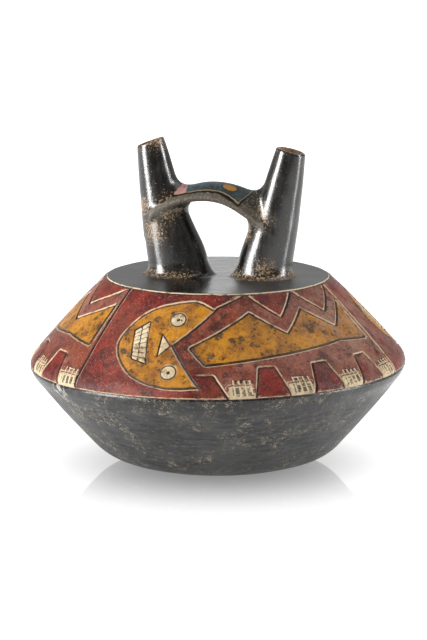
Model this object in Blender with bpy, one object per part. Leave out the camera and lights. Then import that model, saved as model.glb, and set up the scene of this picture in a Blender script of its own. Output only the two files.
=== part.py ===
"""A double spout vessel of fired clay, built as one hollow solid.

The body is turned round Z: a broad foot, a sharp keel and a flat disc on top. Two leaning
spouts rise from the disc, and a strap bridges them. Both spouts open into the body's hollow.
The figures drawn on the shoulder are cut as shallow grooves, as a pointed stick cuts wet clay.

Metres, +Z up. The origin is the middle of the flat underside. The spouts stand along X.
"""

import math

import bmesh
import bpy
from mathutils import Vector

# Body, as radii and heights of its turned outline
FOOT_RADIUS = 0.034
TURN_RADIUS = 0.067
TURN_HEIGHT = 0.006
TURN_SOFTENING = 0.011
KEEL_RADIUS = 0.1105
KEEL_HEIGHT = 0.0605
KEEL_SOFTENING = 0.0095
KEEL_LEAN = 0.0014
KEEL_STEPS = 6
DISC_RADIUS = 0.0654
DISC_HEIGHT = 0.1115
DISC_SOFTENING = 0.0016
FOOT_BOW = 0.0008
BELLY_BOW = 0.0005
SHOULDER_BOW = 0.0009
WALL = 0.0045
BODY_SIDES = 56
HOLLOW_SIDES = 40

# Spouts, one value for the left and one for the right
SPOUT_BASE_X = (-0.025, 0.0273)
SPOUT_TIP_X = (-0.0401, 0.0429)
SPOUT_TIP_HEIGHT = 0.1895
SPOUT_TIP_DROP = (0, 0.004)
SPOUT_MOUTH_TILT = (20.0, -13.5)
SPOUT_BASE_RADIUS = 0.0156
SPOUT_TIP_RADIUS = (0.0079, 0.0086)
SPOUT_SWELL = 0.0009
SPOUT_FLARE = 0.0045
SPOUT_FLARE_HEIGHT = 0.008
SPOUT_WALL = 0.0024
MOUTH_WALL = (0.0019, 0.0021)
BORE_FLARE = 0.003
MOUTH_LIP = 0.0009
SPOUT_SIDES = 24
BORE_SIDES = 20

# Bridge, a strap whose underside and crowned top follow two parabolic arches
BRIDGE_UNDERSIDE_X = -0.0065
BRIDGE_UNDERSIDE_HEIGHT = 0.156
BRIDGE_UNDERSIDE_RADIUS = 0.03
BRIDGE_TOP_X = -0.0016
BRIDGE_TOP_HEIGHT = 0.1665
BRIDGE_TOP_RADIUS = 0.044
BRIDGE_WIDTH = 0.0248
BRIDGE_THICKNESS = 0.0046
BRIDGE_END_HEIGHT = 0.1477

# Grooves of the drawing
GROOVE_WIDTH = 0.002
GROOVE_DEPTH = 0.0007
RING_LINE_AT = 0.002
KEEL_LINE_BELOW_CREST = 0.0006
STROKE_STEP = 0.013
GROOVE_LIP = 0.0003
LEAST_MITRE = 0.4
CORNER_ROOM = 0.0025
LEAST_STEP = 0.0004

# Where each beast's nose and tail are, in degrees round the vessel from its front to its right
BEASTS = (
    {"nose": -29.0, "tail": 76.3, "teeth": ((0.489, 0.617), (0.724, 0.847))},
    {"nose": 87.5, "tail": 201.0, "teeth": ((0.45, 0.57), (0.68, 0.80))},
    {"nose": -151.0, "tail": -38.0, "teeth": ((0.42, 0.54), (0.66, 0.78))},
)

# The drawn beast, as shares of its length from nose to tail and of the band's height downwards
BACK_START = (0.361, 0.176)
HEAD_RIM = ((0.341, 0.15), (0.247, 0.077), (0.072, 0.2), (0, 0.503), (0.08, 0.785), (0.199, 0.905), (0.306, 0.9))
NOTCH = (0.204, 0.513)
EYES = ((0.205, 0.26), (0.211, 0.763))
EYE_RADIUS = 0.0045
EYE_SIDES = 9
NOSE = ((0.185, 0.513), (0.160, 0.411), (0.163, 0.616))
MOUTH = ((0.046, 0.394), (0.093, 0.293), (0.128, 0.69), (0.076, 0.656))
PEAK_DOWN = 0.05
VALLEY_DOWN = 0.257
TAIL_PEAK_ALONG = 0.985
FIELD_PEAK_DOWN = 0.185
FIELD_VALLEY_DOWN = 0.42
FIELD_FRONT = (0.264, 0.529)
FIELD_BACK = 0.967
FIELD_BOTTOM = ((FIELD_BACK, 0.6), (0.821, 0.553), (0.558, 0.62), (0.321, 0.693))
FOOT_COUNT = 4
FOOT_FIRST = 0.391
FOOT_PITCH = 0.177
FOOT_SHARE = 0.074
CROTCH_DOWN = 0.721
CROTCH_SHARE = 0.05
CROTCH_LEFT = 0.019
FIRST_CROTCH = ((0.298, 0.79), (0.347, 0.786))
CLAW_DOWN = 0.879
CLAW_GAPS = (0.003, 0.014)
BAND_END = 0.965

# How far a cutter or a joined piece runs past the surface that it meets
OVERRUN = 0.002


def bowed(start, end, bow, steps):
    """Points after start, up to end, on a shallow curve that bows out to the right of the way."""
    way = end - start
    out = Vector((way.y, -way.x)).normalized()
    shares = [i / steps for i in range(1, steps + 1)]
    return [start + way * t + out * (bow * 4 * t * (1 - t)) for t in shares]


def eased(before, corner, after, length, steps):
    """A corner rounded by a curve that leaves each side at the given length from the corner."""
    enter = corner + (before - corner).normalized() * length
    leave = corner + (after - corner).normalized() * length
    shares = [i / steps for i in range(steps + 1)]
    return [enter * (1 - t) ** 2 + corner * (2 * t * (1 - t)) + leave * t**2 for t in shares]


def body_corners(inset):
    """The turn of the foot, the keel and the disc's edge, moved inwards by inset on every side."""
    keel_reach = KEEL_RADIUS + KEEL_SOFTENING / 3
    corners = [
        Vector((FOOT_RADIUS, 0)),
        Vector((TURN_RADIUS, TURN_HEIGHT)),
        Vector((keel_reach, KEEL_HEIGHT)),
        Vector((DISC_RADIUS, DISC_HEIGHT)),
        Vector((0, DISC_HEIGHT)),
    ]
    moved = []
    for before, corner, after in zip(corners, corners[1:], corners[2:]):
        first = (corner - before).normalized()
        second = (after - corner).normalized()
        inwards = Vector((-first.y, first.x)) + Vector((-second.y, second.x))
        moved.append(corner + inwards * (inset / (1 + first.dot(second))))
    return moved


def belly_line():
    """The outside from the edge of the flat foot up to the lower side of the keel."""
    turn, keel, disc_edge = body_corners(0)
    foot_edge = Vector((FOOT_RADIUS, 0))
    turn_curve = eased(foot_edge, turn, keel, TURN_SOFTENING, 3)
    keel_curve = eased(turn, keel, disc_edge, KEEL_SOFTENING, KEEL_STEPS)
    to_turn = bowed(foot_edge, turn_curve[0], FOOT_BOW, 2)
    to_keel = bowed(turn_curve[-1], keel_curve[0], BELLY_BOW, 3)
    return [foot_edge] + to_turn + turn_curve[1:] + to_keel + keel_curve[1 : KEEL_STEPS // 2 - 1]


def shoulder_line():
    """The outside from the disc's edge down past the crest of the keel, and the way to the crest."""
    turn, keel, disc_edge = body_corners(0)
    keel_curve = eased(disc_edge, keel, turn, KEEL_SOFTENING, KEEL_STEPS)
    edge_curve = eased(Vector((0, DISC_HEIGHT)), disc_edge, keel, DISC_SOFTENING, 2)
    slope = bowed(edge_curve[-1], keel_curve[0], -SHOULDER_BOW, 3)
    to_crest = edge_curve + slope + keel_curve[1 : KEEL_STEPS // 2 + 1]
    return to_crest + keel_curve[KEEL_STEPS // 2 + 1 : KEEL_STEPS // 2 + 2], line_length(to_crest)


def point_along(line, distance):
    """The point at a distance along a line of points, and the outward normal there."""
    left = distance
    for start, end in zip(line, line[1:]):
        way = end - start
        if left <= way.length or end is line[-1]:
            return start + way.normalized() * left, Vector((-way.y, way.x)).normalized()
        left -= way.length
    raise ValueError("the line has no length")


def line_length(line):
    return sum((end - start).length for start, end in zip(line, line[1:]))


def notched(line, at):
    """The line with a V-shaped groove cut into it at a distance along it."""
    lips = [at - GROOVE_WIDTH / 2, at + GROOVE_WIDTH / 2]
    middle, out = point_along(line, at)
    cut = [point_along(line, lips[0])[0], middle - out * GROOVE_DEPTH, point_along(line, lips[1])[0]]
    before, after, walked = [line[0]], [], 0
    for start, end in zip(line, line[1:]):
        walked += (end - start).length
        if walked < lips[0] - LEAST_STEP:
            before.append(end)
        elif walked > lips[1] + LEAST_STEP:
            after.append(end)
    return before + cut + after


def lean(point):
    """Moves a point of the body as the uneven keel does: up on the right and down on the left."""
    if point.z > KEEL_HEIGHT:
        share = (DISC_HEIGHT - point.z) / (DISC_HEIGHT - KEEL_HEIGHT)
    else:
        share = point.z / KEEL_HEIGHT
    rise = KEEL_LEAN * point.x / KEEL_RADIUS * min(1, max(0, share))
    return point + Vector((0, 0, rise))


def hollow_line():
    """The inside, a wall's thickness in from the outside, from the floor up to the ceiling."""
    turn, keel, disc_edge = body_corners(WALL)
    floor_edge = Vector((FOOT_RADIUS, WALL))
    turn_curve = eased(floor_edge, turn, keel, TURN_SOFTENING, 3)
    to_keel = bowed(turn_curve[-1], keel, BELLY_BOW, 3)
    to_disc = bowed(keel, disc_edge, SHOULDER_BOW, 4)
    return [floor_edge] + turn_curve + to_keel + to_disc


def turned(name, line, sides):
    """A solid turned from a line of points (radius, height), with flat caps at its ends."""
    bm = bmesh.new()
    verts = [bm.verts.new((p.x, 0, p.y)) for p in line]
    edges = [bm.edges.new(pair) for pair in zip(verts, verts[1:])]
    bmesh.ops.spin(
        bm, geom=verts + edges, axis=(0, 0, 1), cent=(0, 0, 0), angle=math.tau, steps=sides, use_merge=True
    )
    bmesh.ops.holes_fill(bm, edges=bm.edges[:])
    for vert in bm.verts:
        vert.co = lean(vert.co)
    return finished(name, bm)


def swept(bm, sections, closed=False):
    """Adds a tube through rings of points, with caps at its ends or joined end to end."""
    rings = []
    for section in sections:
        verts = [bm.verts.new(point) for point in section]
        rings.append([bm.edges.new(pair) for pair in zip(verts, verts[1:] + verts[:1])])
    for below, above in zip(rings, rings[1:] + rings[:1] if closed else rings[1:]):
        bmesh.ops.bridge_loops(bm, edges=below + above)
    for end in () if closed else (rings[0], rings[-1]):
        bmesh.ops.contextual_create(bm, geom=end)


def finished(name, bm):
    """Turns a bmesh into a named object with outward faces and smooth round sides."""
    bmesh.ops.recalc_face_normals(bm, faces=bm.faces[:])
    mesh = bpy.data.meshes.new(name)
    bm.to_mesh(mesh)
    bm.free()
    mesh.shade_smooth()
    mesh.set_sharp_from_angle(angle=math.radians(35))
    made = bpy.data.objects.new(name, mesh)
    bpy.context.scene.collection.objects.link(made)
    return made


def clay(name, colour, roughness):
    material = bpy.data.materials.new(name)
    material.use_nodes = True
    shader = material.node_tree.nodes["Principled BSDF"]
    shader.inputs["Base Color"].default_value = (*colour, 1)
    shader.inputs["Roughness"].default_value = roughness
    shader.inputs["Metallic"].default_value = 0
    return material


def tip_height(side):
    """The height of the middle of a spout's mouth."""
    return SPOUT_TIP_HEIGHT - SPOUT_TIP_DROP[side]


def spout_ring(side, share, radius, sides):
    """A ring round a spout's axis, level at the disc and sloping with the mouth at the tip."""
    base = Vector((SPOUT_BASE_X[side], 0, DISC_HEIGHT))
    tip = Vector((SPOUT_TIP_X[side], 0, tip_height(side)))
    centre = base.lerp(tip, share)
    slope = math.tan(math.radians(SPOUT_MOUTH_TILT[side])) * min(1, max(0, share))
    across = Vector((1, 0, slope))
    turns = [math.tau * i / sides for i in range(sides)]
    return [centre + across * (radius * math.cos(a)) + Vector((0, radius * math.sin(a), 0)) for a in turns]


def spout_radius(side, share, flare):
    """A spout's radius from its base, at share 0, to its tip, at share 1, with a flare at its foot."""
    straight = SPOUT_BASE_RADIUS + (SPOUT_TIP_RADIUS[side] - SPOUT_BASE_RADIUS) * share
    height = (tip_height(side) - DISC_HEIGHT) * share
    spread = flare * max(0, 1 - height / SPOUT_FLARE_HEIGHT) ** 2
    return straight + SPOUT_SWELL * 4 * share * (1 - share) + spread


def spout(side, name):
    """The outside of a spout, from inside the body's wall to its rounded lip."""
    height = tip_height(side) - DISC_HEIGHT
    shares = [SPOUT_FLARE_HEIGHT * k / 3 / height for k in range(4)]
    shares += [0.25, 0.4, 0.55, 0.7, 0.85, 1 - MOUTH_LIP / height]
    rings = [spout_ring(side, -WALL / 2 / height, spout_radius(side, 0, SPOUT_FLARE), SPOUT_SIDES)]
    rings += [spout_ring(side, s, spout_radius(side, s, SPOUT_FLARE), SPOUT_SIDES) for s in shares]
    rings.append(spout_ring(side, 1, spout_radius(side, 1, SPOUT_FLARE) - MOUTH_LIP, SPOUT_SIDES))
    bm = bmesh.new()
    swept(bm, rings)
    return finished(name, bm)


def bore(side, name):
    """The bore of a spout, from the body's hollow out past the mouth."""
    height = tip_height(side) - DISC_HEIGHT
    ends = [-(WALL + OVERRUN) / height, 1 + OVERRUN / height]
    rings = []
    for share in [ends[0], 0, SPOUT_FLARE_HEIGHT / height, 0.35, 0.6, 0.8, 1, ends[1]]:
        inside = min(1, max(0, share))
        wall = SPOUT_WALL + (MOUTH_WALL[side] - SPOUT_WALL) * inside
        radius = spout_radius(side, inside, BORE_FLARE) - wall
        rings.append(spout_ring(side, share, radius, BORE_SIDES))
    bm = bmesh.new()
    swept(bm, rings)
    return finished(name, bm)


def bridge(name):
    """The strap: upright sections, thick at the rims and crowned between them, set along its arches."""
    half = BRIDGE_WIDTH / 2
    round_off = BRIDGE_THICKNESS / 3
    across = [half * (1 - k / 4) for k in range(1, 8)]
    ends = [spout_axis_x(side, BRIDGE_END_HEIGHT) for side in (0, 1)]
    stations = 13
    sections = []
    for i in range(stations):
        x = ends[0] + (ends[1] - ends[0]) * i / (stations - 1)
        run = x - BRIDGE_UNDERSIDE_X
        low = BRIDGE_UNDERSIDE_HEIGHT - run**2 / (2 * BRIDGE_UNDERSIDE_RADIUS)
        rim = low + BRIDGE_THICKNESS * math.hypot(1, run / BRIDGE_UNDERSIDE_RADIUS)
        high = BRIDGE_TOP_HEIGHT - (x - BRIDGE_TOP_X) ** 2 / (2 * BRIDGE_TOP_RADIUS)
        outline = [(round_off - half, low), (half - round_off, low), (half, low + round_off)]
        outline += [(half, rim - round_off / 2)]
        outline += [(y, rim + (high - rim) * (1 - (y / half) ** 2)) for y in across]
        outline += [(-half, rim - round_off / 2), (-half, low + round_off)]
        sections.append([Vector((x, y, z)) for y, z in outline])
    bm = bmesh.new()
    swept(bm, sections)
    return finished(name, bm)


def spout_axis_x(side, height):
    """Where a spout's axis is, along X, at a height."""
    share = (height - DISC_HEIGHT) / (tip_height(side) - DISC_HEIGHT)
    return SPOUT_BASE_X[side] + (SPOUT_TIP_X[side] - SPOUT_BASE_X[side]) * share


def curved(points, steps):
    """Points on a smooth curve through the given ones."""
    ends = [points[0]] + list(points) + [points[-1]]
    made = [points[0]]
    for a, b, c, d in zip(ends, ends[1:], ends[2:], ends[3:]):
        for t in [i / steps for i in range(1, steps + 1)]:
            made.append(
                tuple(
                    0.5 * (2 * q + (r - p) * t + (2 * p - 5 * q + 4 * r - s) * t**2 + (3 * q - p - 3 * r + s) * t**3)
                    for p, q, r, s in zip(a, b, c, d)
                )
            )
    return made


def beast_strokes(teeth):
    """The lines of one beast, as (list of (share along, share down), whether it is closed)."""
    back = []
    field = [FIELD_FRONT]
    for peak, valley in teeth:
        back += [(peak, PEAK_DOWN), (valley, VALLEY_DOWN)]
        field += [(peak, FIELD_PEAK_DOWN), (valley, FIELD_VALLEY_DOWN)]
    strokes = [
        (
            curved(HEAD_RIM, 2) + [NOTCH, BACK_START] + back + [(TAIL_PEAK_ALONG, PEAK_DOWN), (1, BAND_END)],
            False,
        ),
        (list(NOSE), True),
        (list(MOUTH), True),
        (field + [(FIELD_BACK, FIELD_PEAK_DOWN)] + list(FIELD_BOTTOM), True),
        (list(FIRST_CROTCH) + [(FOOT_FIRST, BAND_END)], False),
    ]
    for foot in range(FOOT_COUNT):
        left = FOOT_FIRST + FOOT_PITCH * foot
        right = left + FOOT_SHARE
        claw_line = [(left + CLAW_GAPS[0], CLAW_DOWN), (right - CLAW_GAPS[1], CLAW_DOWN)]
        strokes.append((claw_line, False))
        if foot < FOOT_COUNT - 1:
            crotch = right + CROTCH_LEFT
            strokes.append(
                (
                    [
                        (right, BAND_END),
                        (crotch, CROTCH_DOWN),
                        (crotch + CROTCH_SHARE, CROTCH_DOWN),
                        (left + FOOT_PITCH, BAND_END),
                    ],
                    False,
                )
            )
    return strokes


def on_shoulder(shoulder, degrees, distance):
    """The point on the shoulder at an angle round the vessel and a distance down it, and its normal."""
    flat, out = point_along(shoulder, distance)
    angle = math.radians(degrees - 90)
    across = Vector((math.cos(angle), math.sin(angle), 0))
    return lean(across * flat.x + Vector((0, 0, flat.y))), across * out.x + Vector((0, 0, out.y))


def groove(bm, path, closed=False):
    """Adds a V-shaped cutter along a path of (point, normal), with mitred corners."""
    reach = GROOVE_WIDTH / 2 * (1 + GROOVE_LIP / GROOVE_DEPTH)
    points = [point for point, _ in path]
    ways = [(end - start).normalized() for start, end in zip(points, points[1:] + points[:1])]
    sections = []
    for i, (point, out) in enumerate(path):
        leaving = ways[i] if closed or i < len(path) - 1 else ways[i - 1]
        coming = ways[i - 1] if closed or i > 0 else leaving
        along = (coming + leaving).normalized()
        side = along.cross(out) * (reach / max(along.dot(leaving), LEAST_MITRE))
        lip = point + out * GROOVE_LIP
        sections.append([lip + side, point - out * GROOVE_DEPTH, lip - side])
    swept(bm, sections, closed)


def stepped(stroke, length, band_height, bends, closed):
    """A stroke's corners with points between them, so that it follows the round, bent shoulder."""
    spots = []
    ends = stroke[1:] + stroke[:1] if closed else stroke[1:]
    for start, end in zip(stroke, ends):
        across = (end[0] - start[0]) * math.radians(length) * KEEL_RADIUS
        down = (end[1] - start[1]) * band_height
        reach = math.hypot(across, down)
        crossed = [bend for bend in bends if min(start[1], end[1]) < bend < max(start[1], end[1])]
        stops = [0] + sorted((bend - start[1]) / (end[1] - start[1]) for bend in crossed) + [1]
        shares = []
        for first, last in zip(stops, stops[1:]):
            steps = max(1, math.ceil((last - first) * reach / STROKE_STEP))
            shares += [first + (last - first) * i / steps for i in range(steps)]
        spots += [
            [p + (q - p) * share for p, q in zip(start, end)]
            for before, share in zip([-1] + shares, shares)
            if share == 0 or min(share - before, 1 - share) * reach > CORNER_ROOM
        ]
    return spots if closed else spots + [stroke[-1]]


def eye_ring(shoulder, degrees, distance):
    """Points and normals of a round eye on the shoulder."""
    radius = point_along(shoulder, distance)[0].x
    turns = [math.tau * i / EYE_SIDES for i in range(EYE_SIDES)]
    return [
        on_shoulder(
            shoulder, degrees + math.degrees(EYE_RADIUS * math.cos(a) / radius), distance + EYE_RADIUS * math.sin(a)
        )
        for a in turns
    ]


def drawing(name, shoulder, band_top, band_height):
    """The cutter of every drawn line on the shoulder."""
    bm = bmesh.new()
    bends = [(line_length(shoulder[: i + 1]) - band_top) / band_height for i in range(len(shoulder))]
    for beast in BEASTS:
        length = beast["tail"] - beast["nose"]

        def spot(along, down):
            return beast["nose"] + along * length, band_top + down * band_height

        for stroke, closed in beast_strokes(beast["teeth"]):
            steps = stepped(stroke, length, band_height, bends, closed)
            groove(bm, [on_shoulder(shoulder, *spot(*step)) for step in steps], closed)
        for eye in EYES:
            groove(bm, eye_ring(shoulder, *spot(*eye)), closed=True)
    return finished(name, bm)


def combine(target, tool, operation):
    """Joins a helper to the target or cuts it out, and keeps the helper as a wire guide."""
    modifier = target.modifiers.new(f"{operation.lower()} {tool.name}", "BOOLEAN")
    modifier.operation = operation
    modifier.object = tool
    tool.hide_render = True
    tool.display_type = "WIRE"


def main():
    for old in list(bpy.data.objects):
        bpy.data.objects.remove(old)
    shoulder, crest_at = shoulder_line()
    keel_line_at = crest_at + KEEL_LINE_BELOW_CREST
    drawn = notched(notched(shoulder, RING_LINE_AT), keel_line_at)
    vessel = turned("vessel", belly_line() + drawn[::-1], BODY_SIDES)
    vessel.data.materials.append(clay("burnished_black", (0.035, 0.034, 0.033), 0.35))
    combine(vessel, spout(0, "left_spout_outside"), "UNION")
    combine(vessel, spout(1, "right_spout_outside"), "UNION")
    combine(vessel, bridge("bridge_strap"), "UNION")
    combine(vessel, turned("body_hollow", hollow_line(), HOLLOW_SIDES), "DIFFERENCE")
    combine(vessel, bore(0, "left_bore"), "DIFFERENCE")
    combine(vessel, bore(1, "right_bore"), "DIFFERENCE")
    lines = drawing("drawn_lines", shoulder, RING_LINE_AT, keel_line_at - RING_LINE_AT)
    combine(vessel, lines, "DIFFERENCE")


main()
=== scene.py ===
# %% [markdown]
# # A double spout vessel of fired clay
#
# The vessel is one hollow piece, so the whole surface is one mesh. The shoulder's drawing is
# worked out flat, on the cone that the shoulder unrolls to, and then rolled round the body.
# The spouts and the strap come from one smooth formula, so they blend as wet clay does.
# All sizes are in millimetres until the mesh is made.

# %% The frame and the tools
import math

import bmesh
import bpy
import numpy as np
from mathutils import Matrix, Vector, geometry, kdtree, noise


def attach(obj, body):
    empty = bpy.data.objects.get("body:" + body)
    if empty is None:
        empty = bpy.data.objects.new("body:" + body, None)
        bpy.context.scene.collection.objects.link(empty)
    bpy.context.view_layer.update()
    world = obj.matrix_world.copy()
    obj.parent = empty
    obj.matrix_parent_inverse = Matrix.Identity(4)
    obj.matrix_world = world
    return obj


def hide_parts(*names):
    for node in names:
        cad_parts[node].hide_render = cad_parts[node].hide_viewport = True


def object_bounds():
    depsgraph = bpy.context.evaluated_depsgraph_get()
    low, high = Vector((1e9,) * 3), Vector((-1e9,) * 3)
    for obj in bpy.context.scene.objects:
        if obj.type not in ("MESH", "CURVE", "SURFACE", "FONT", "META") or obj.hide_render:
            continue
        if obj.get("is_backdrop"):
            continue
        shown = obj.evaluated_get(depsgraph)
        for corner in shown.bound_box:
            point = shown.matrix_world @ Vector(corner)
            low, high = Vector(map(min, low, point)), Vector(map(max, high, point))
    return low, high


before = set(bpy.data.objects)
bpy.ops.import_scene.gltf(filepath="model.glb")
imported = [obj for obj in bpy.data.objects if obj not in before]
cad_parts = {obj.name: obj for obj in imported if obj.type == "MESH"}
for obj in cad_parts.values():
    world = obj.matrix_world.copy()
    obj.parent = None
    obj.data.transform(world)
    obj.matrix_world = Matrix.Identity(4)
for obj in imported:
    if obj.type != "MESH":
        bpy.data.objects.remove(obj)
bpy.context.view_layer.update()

# %% [markdown]
# ## The turned outline
# The real body was built by hand and scraped round, so it is turned round the upright axis.
# A modifier could turn a curve, but the drawing has to follow the same outline, so both come
# from one line. `v` is the way down it from the disc's edge, and `face` is the angle round
# the vessel from its front, towards its right.

# %% Sizes of the body
FOOT, TURN, KEEL, DISC = (34, 0), (67, 6), (113.42, 60.5), (65.4, 111.5)
DISC_START = 61.8
RING_V, KEEL_V = 2.0, 70.66
BAND_HEIGHT = KEEL_V - RING_V
BAND_START, BAND_STOP = -2.0, 74.4
SECTORS = 288
SEAM_FACE = -155.0
APEX, SLANT = 95.1, 0.687
LEAN, BODY_RADIUS = 1.4, 110.5
EDGE_EASE, KEEL_EASE, TURN_EASE = 1.6, 9.5, 11
SLOPE_BOW, BELLY_BOW, BASE_BOW = -0.9, -0.5, -0.8


def eased(before, corner, after, length, steps):
    """A corner as a curve that starts and ends the given length away from it."""
    before, corner, after = (np.array(p, float) for p in (before, corner, after))
    enter = corner + (before - corner) / np.linalg.norm(before - corner) * length
    leave = corner + (after - corner) / np.linalg.norm(after - corner) * length
    t = np.linspace(0, 1, steps + 1)[:, None]
    return enter * (1 - t) ** 2 + corner * (2 * t * (1 - t)) + leave * t**2


def bowed(start, end, bow, steps):
    """The points between the ends of a slightly bowed line."""
    way = end - start
    out = np.array([way[1], -way[0]]) / np.linalg.norm(way)
    t = np.linspace(0, 1, steps + 1)[1:-1, None]
    return start + way * t + out * (bow * 4 * t * (1 - t))


def outline():
    """The body's outline from the disc down to the foot, as fine points (radius, height)."""
    edge = eased((0, DISC[1]), DISC, KEEL, EDGE_EASE, 8)
    keel = eased(DISC, KEEL, TURN, KEEL_EASE, 32)
    turn = eased(KEEL, TURN, FOOT, TURN_EASE, 12)
    slope = bowed(edge[-1], keel[0], SLOPE_BOW, 60)
    belly = bowed(keel[-1], turn[0], BELLY_BOW, 40)
    base = bowed(turn[-1], np.array(FOOT, float), BASE_BOW, 12)
    parts = [[(DISC_START, DISC[1])], edge, slope, keel, belly, turn, base, [FOOT]]
    return np.concatenate([np.array(p, float).reshape(-1, 2) for p in parts])


LINE = outline()
steps = np.linalg.norm(np.diff(LINE, axis=0), axis=1)
WALKED = np.concatenate([[0], np.cumsum(steps)]) + BAND_START
WAYS = np.gradient(LINE, WALKED, axis=0)
NORMALS = np.stack([-WAYS[:, 1], WAYS[:, 0]], 1)
NORMALS /= np.linalg.norm(NORMALS, axis=1)[:, None]


def on_body(face, v, lift=0):
    """Points in space for angles round the body and ways down its outline, lifted off it."""
    radius = np.interp(v, WALKED, LINE[:, 0]) + lift * np.interp(v, WALKED, NORMALS[:, 0])
    height = np.interp(v, WALKED, LINE[:, 1]) + lift * np.interp(v, WALKED, NORMALS[:, 1])
    angle, radius, height = np.broadcast_arrays(np.radians(np.asarray(face) - 90), radius, height)
    return np.stack([radius * np.cos(angle), radius * np.sin(angle), height], -1)


print("outline", len(LINE), "points, from", round(WALKED[0], 1), "to", round(WALKED[-1], 1), "mm")

# %% [markdown]
# ## The drawing on the shoulder
# Three beasts are scratched into the real shoulder. They could be painted on, but real
# grooves catch the light, so they are cut into the mesh. Each beast is drawn with shares of
# its length and of the band's height, so the same lines serve for all three. A stroke is a
# line of (face angle, v), whether it closes, its half width, how strongly its lip shows cream
# (bare clay and a painted highlight) and how dark its floor is (soot and painted shade). A
# nail is a raised stroke, with a dark value below 0, which paints a shadow beside it.

# %% The beasts
BEASTS = (
    {"nose": -29.0, "tail": 76.3, "teeth": ((0.489, 0.617), (0.724, 0.847))},
    {"nose": 87.5, "tail": 201.0, "teeth": ((0.45, 0.57), (0.68, 0.80))},
    {"nose": -151.0, "tail": -38.0, "teeth": ((0.42, 0.54), (0.66, 0.78))},
)
BACK_START = (0.361, 0.13)
HEAD_RIM = ((0.341, 0.15), (0.247, 0.077), (0.072, 0.2), (0, 0.503))
HEAD_RIM += ((0.08, 0.785), (0.199, 0.905), (0.306, 0.9))
NOTCH = (0.204, 0.513)
EYES = ((0.205, 0.26), (0.211, 0.763))
NOSE = ((0.198, 0.513), (0.160, 0.411), (0.163, 0.616))
MOUTH = ((0.046, 0.394), (0.093, 0.293), (0.128, 0.69), (0.076, 0.656))
TOOTH_DOWN, FIELD_TOP, FIELD_VALLEY = 0.257, 0.185, 0.42
FIELD_BOTTOM = ((0.967, 0.6), (0.821, 0.553), (0.558, 0.62), (0.321, 0.693))
FIRST_CROTCH = ((0.298, 0.79), (0.347, 0.786))
FEET = [(0.391 + 0.177 * k, 0.465 + 0.177 * k) for k in range(4)]
CLAW_DOWN = 0.879
GAP_TOP, GAP_LEAN, GAP_WIDE = 0.721, 0.019, 0.069
TEETH, NAILS = 7, 4
EYE_RING, PUPIL = 4.6, 0.9
WIDE, THIN, HAIR, NAIL = 0.8, 0.5, 0.32, 0.4


def curved(points, steps):
    """A smooth curve through the points."""
    ends = np.array([points[0], *points, points[-1]], float)
    t = np.linspace(0, 1, steps + 1)[1:, None]
    made = [ends[1:2]]
    for a, b, c, d in zip(ends, ends[1:], ends[2:], ends[3:]):
        bend = 2 * a - 5 * b + 4 * c - d
        twist = 3 * b - a - 3 * c + d
        made.append(0.5 * (2 * b + (c - a) * t + bend * t**2 + twist * t**3))
    return np.concatenate(made)


def beast_lines(teeth):
    """The strokes and the coloured areas of one beast, in shares along and down."""
    rim = [tuple(p) for p in curved(HEAD_RIM, 8)]
    back = [point for peak, valley in teeth for point in ((peak, 0.0), (valley, TOOTH_DOWN))]
    field = [(0.264, 0.529)]
    for peak, valley in teeth:
        field += [(peak, FIELD_TOP), (valley, FIELD_VALLEY)]
    field += [(0.967, FIELD_TOP), *FIELD_BOTTOM]
    first_foot = (FEET[0][0], 1)
    spine = [NOTCH, BACK_START, *back, (0.985, 0.0), (1, 1)]
    strokes = [
        (rim, False, WIDE, -1.0, 0.8),
        ([rim[-1], NOTCH], False, WIDE, 0.9, 0.9),
        (spine, False, WIDE, 0.9, 0.9),
        (field, True, WIDE, 0.85, 0.9),
        (list(NOSE), True, THIN, 0.6, 1.0),
        (list(MOUTH), True, THIN, -0.8, 1.0),
        ([*FIRST_CROTCH, first_foot], False, WIDE, 0.9, 0.7),
    ]
    corners = [np.array(p) for p in MOUTH]
    bite = [tuple((corners[0] + corners[1]) / 2), tuple((corners[2] + corners[3]) / 2)]
    strokes.append((bite, False, HAIR, 0.0, 1.0))
    for t in np.linspace(0.12, 0.88, TEETH):
        front = tuple(corners[0] + (corners[3] - corners[0]) * t)
        rear = tuple(corners[1] + (corners[2] - corners[1]) * t)
        strokes.append(([front, rear], False, HAIR, 0.0, 0.8))
    chin = (rim[-1][0] * 0.6 + NOTCH[0] * 0.4, 0.75)
    gaps = [[chin, *FIRST_CROTCH, first_foot, (0.2, 1), (0.2, 0.9), rim[-1]]]
    claws = []
    for k, (left, right) in enumerate(FEET):
        claw = [(left - 0.004, CLAW_DOWN), (right - 0.006, CLAW_DOWN)]
        strokes.append((claw, False, THIN, 0.7, 0.7))
        claws.append([claw[0], claw[1], (right, 1), (left, 1)])
        for n in range(1, NAILS + 1):
            x = left + (right - left) * n / (NAILS + 0.6)
            nail = [(x - 0.004, CLAW_DOWN - 0.05), (x + 0.002, 0.97)]
            strokes.append((nail, False, NAIL, 1.0, -1.0))
        if k < len(FEET) - 1:
            after = FEET[k + 1][0]
            crotch = [(right + GAP_LEAN, GAP_TOP), (right + GAP_WIDE, GAP_TOP)]
            gap = [(right, 1), *crotch, (after, 1)]
            strokes.append((gap, False, WIDE, 0.8, 0.6))
            gaps.append(gap)
    body = [NOTCH, *spine[1:], first_foot, *reversed(FIRST_CROTCH)]
    areas = [("beast", body), ("ochre", field), ("ground", gaps[0])]
    areas += [("ground", gap) for gap in gaps[1:]]
    areas += [("cream", claw) for claw in claws]
    areas += [("ochre", rim + [NOTCH]), ("cream", list(NOSE)), ("cream", list(MOUTH))]
    return strokes, areas


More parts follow.
